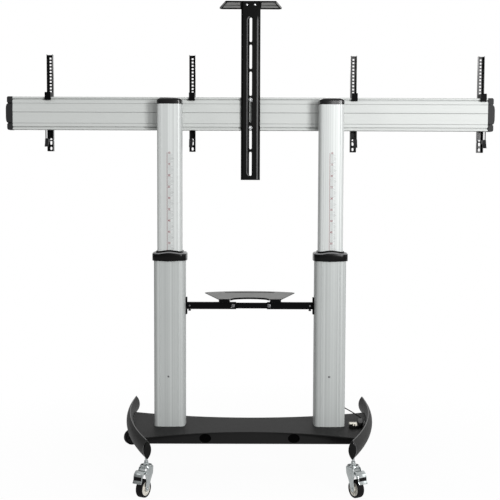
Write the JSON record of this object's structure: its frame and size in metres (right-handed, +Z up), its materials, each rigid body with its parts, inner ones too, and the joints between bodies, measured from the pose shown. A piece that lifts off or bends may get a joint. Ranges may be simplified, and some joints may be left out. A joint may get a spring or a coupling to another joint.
{
  "type": "mobile display stand",
  "caption": "Rolling display stand: telescoping aluminium columns on a bowed castor base carry a wide rail with sliding hook-on arms, a camera mast and an equipment shelf.",
  "frame": {"origin": "on the floor, midway between the columns, at the middle of the bounding box's base", "axes": "+X to the right seen from the scale side, +Y towards the displays, +Z up"},
  "size_m": [2.2096, 0.9625, 2.1063],
  "materials": {
    "anodised_column": "satin anodised, fine vertical grain",
    "anodised_rail": "satin anodised, fine long grain",
    "charcoal_base_paint": "charcoal satin powder coat",
    "black_base_paint": "black satin powder coat",
    "dark_grey_paint": "dark grey satin powder coat",
    "charcoal_mast_paint": "charcoal satin powder coat",
    "black_arm_paint": "black satin powder coat",
    "black_latch_plastic": "moulded matt black",
    "black_cap_plastic": "moulded matt black",
    "glide_plastic": "moulded, low friction",
    "zinc_hardware": "bright zinc plate",
    "zinc_castor_steel": "bright zinc plate",
    "cream_hub_plastic": "moulded cream",
    "black_tyre": "solid rubber tread",
    "cord_sheath": "matt black sheath",
    "plug_plastic": "moulded black"
  },
  "bodies": {
    "base": {"base_deck": "charcoal_base_paint", "base_crossbeam": "black_base_paint", "left_leg": "charcoal_base_paint", "right_leg": "charcoal_base_paint", "left_lower_column": "anodised_column", "right_lower_column": "anodised_column", "left_column_collar": "black_cap_plastic", "right_column_collar": "black_cap_plastic", "castor_head_1": "zinc_castor_steel", "castor_head_2": "zinc_castor_steel", "castor_head_3": "zinc_castor_steel", "castor_head_4": "zinc_castor_steel", "cable_gland": "plug_plastic", "power_cord": "cord_sheath", "cord_plug": "plug_plastic"},
    "equipment_shelf": {"av_bar_left": "dark_grey_paint", "av_bar_middle": "dark_grey_paint", "av_bar_right": "dark_grey_paint", "av_shelf": "dark_grey_paint", "left_av_bracket": "dark_grey_paint", "right_av_bracket": "dark_grey_paint"},
    "lift": {"left_upper_column": "anodised_column", "right_upper_column": "anodised_column", "left_column_cap": "black_cap_plastic", "right_column_cap": "black_cap_plastic", "left_foot_glide": "glide_plastic", "right_foot_glide": "glide_plastic", "display_rail": "anodised_rail", "left_rail_end_cap": "black_cap_plastic", "right_rail_end_cap": "black_cap_plastic", "left_rail_clamp": "zinc_hardware", "right_rail_clamp": "zinc_hardware", "upper_mast_bolt": "zinc_hardware", "lower_mast_bolt": "zinc_hardware"},
    "mast": {"camera_mast": "charcoal_mast_paint", "camera_shelf": "dark_grey_paint"},
    "arm_1": {"display_arm_1": "black_arm_paint"},
    "latch_1": {"arm_latch_1": "black_latch_plastic"},
    "arm_2": {"display_arm_2": "black_arm_paint"},
    "latch_2": {"arm_latch_2": "black_latch_plastic"},
    "arm_3": {"display_arm_3": "black_arm_paint"},
    "latch_3": {"arm_latch_3": "black_latch_plastic"},
    "arm_4": {"display_arm_4": "black_arm_paint"},
    "latch_4": {"arm_latch_4": "black_latch_plastic"},
    "castor_1": {"castor_fork_1": "zinc_castor_steel"},
    "wheel_1": {"castor_hub_1": "cream_hub_plastic", "castor_tyre_1": "black_tyre"},
    "pedal_1": {"castor_pedal_1": "zinc_castor_steel"},
    "castor_2": {"castor_fork_2": "zinc_castor_steel"},
    "wheel_2": {"castor_hub_2": "cream_hub_plastic", "castor_tyre_2": "black_tyre"},
    "pedal_2": {"castor_pedal_2": "zinc_castor_steel"},
    "castor_3": {"castor_fork_3": "zinc_castor_steel"},
    "wheel_3": {"castor_hub_3": "cream_hub_plastic", "castor_tyre_3": "black_tyre"},
    "castor_4": {"castor_fork_4": "zinc_castor_steel"},
    "wheel_4": {"castor_hub_4": "cream_hub_plastic", "castor_tyre_4": "black_tyre"}
  },
  "joints": [
    {"name": "lift_slide", "type": "slide", "parent": "base", "child": "lift", "axis": [0, 0, 1], "range_m": [-0.4, 0.1]},
    {"name": "shelf_slide", "type": "slide", "parent": "base", "child": "equipment_shelf", "axis": [0, 0, 1], "range_m": [-0.4, 0.14]},
    {"name": "mast_slide", "type": "slide", "parent": "lift", "child": "mast", "axis": [0, 0, 1], "range_m": [0, 0.09]},
    {"name": "arm_1_slide", "type": "slide", "parent": "lift", "child": "arm_1", "axis": [1, 0, 0], "range_m": [-0.13, 0.45]},
    {"name": "latch_1_hinge", "type": "hinge", "parent": "arm_1", "child": "latch_1", "pos_m": [-0.9134, 0.116, 1.4855], "axis": [1, 0, 0], "range_deg": [0, 25], "stiffness_Nm_per_rad": 0.12, "springref_deg": -28.65},
    {"name": "arm_2_slide", "type": "slide", "parent": "lift", "child": "arm_2", "axis": [1, 0, 0], "range_m": [-0.018, 0.2]},
    {"name": "latch_2_hinge", "type": "hinge", "parent": "arm_2", "child": "latch_2", "pos_m": [-0.265, 0.116, 1.4855], "axis": [1, 0, 0], "range_deg": [0, 25], "stiffness_Nm_per_rad": 0.12, "springref_deg": -28.65},
    {"name": "arm_3_slide", "type": "slide", "parent": "lift", "child": "arm_3", "axis": [1, 0, 0], "range_m": [-0.03, 0.54]},
    {"name": "latch_3_hinge", "type": "hinge", "parent": "arm_3", "child": "latch_3", "pos_m": [0.4695, 0.116, 1.4855], "axis": [1, 0, 0], "range_deg": [0, 25], "stiffness_Nm_per_rad": 0.12, "springref_deg": -28.65},
    {"name": "arm_4_slide", "type": "slide", "parent": "lift", "child": "arm_4", "axis": [1, 0, 0], "range_m": [-0.54, 0.002]},
    {"name": "latch_4_hinge", "type": "hinge", "parent": "arm_4", "child": "latch_4", "pos_m": [1.0514, 0.116, 1.4855], "axis": [1, 0, 0], "range_deg": [0, 25], "stiffness_Nm_per_rad": 0.12, "springref_deg": -28.65},
    {"name": "castor_1_swivel", "type": "hinge", "parent": "base", "child": "castor_1", "pos_m": [-0.42848, -0.418, 0.1275], "axis": [0, 0, 1], "continuous": true},
    {"name": "wheel_1_roll", "type": "hinge", "parent": "castor_1", "child": "wheel_1", "pos_m": [-0.43841, -0.43763, 0.0375], "axis": [0.8924, -0.4512, 0], "continuous": true},
    {"name": "pedal_1_tip", "type": "hinge", "parent": "castor_1", "child": "pedal_1", "pos_m": [-0.44202, -0.44477, 0.108], "axis": [0.8924, -0.4512, 0], "range_deg": [0, 12]},
    {"name": "castor_2_swivel", "type": "hinge", "parent": "base", "child": "castor_2", "pos_m": [0.42848, -0.418, 0.1275], "axis": [0, 0, 1], "continuous": true},
    {"name": "wheel_2_roll", "type": "hinge", "parent": "castor_2", "child": "wheel_2", "pos_m": [0.43948, -0.43705, 0.0375], "axis": [0.866, 0.5, 0], "continuous": true},
    {"name": "pedal_2_tip", "type": "hinge", "parent": "castor_2", "child": "pedal_2", "pos_m": [0.44348, -0.44398, 0.108], "axis": [0.866, 0.5, 0], "range_deg": [0, 12]},
    {"name": "castor_3_swivel", "type": "hinge", "parent": "base", "child": "castor_3", "pos_m": [-0.56262, 0.41, 0.1275], "axis": [0, 0, 1], "continuous": true},
    {"name": "wheel_3_roll", "type": "hinge", "parent": "castor_3", "child": "wheel_3", "pos_m": [-0.58167, 0.399, 0.0375], "axis": [0.5, -0.866, 0], "continuous": true},
    {"name": "castor_4_swivel", "type": "hinge", "parent": "base", "child": "castor_4", "pos_m": [0.56262, 0.41, 0.1275], "axis": [0, 0, 1], "continuous": true},
    {"name": "wheel_4_roll", "type": "hinge", "parent": "castor_4", "child": "wheel_4", "pos_m": [0.56811, 0.4313, 0.0375], "axis": [-0.9684, 0.2496, 0], "continuous": true}
  ]
}
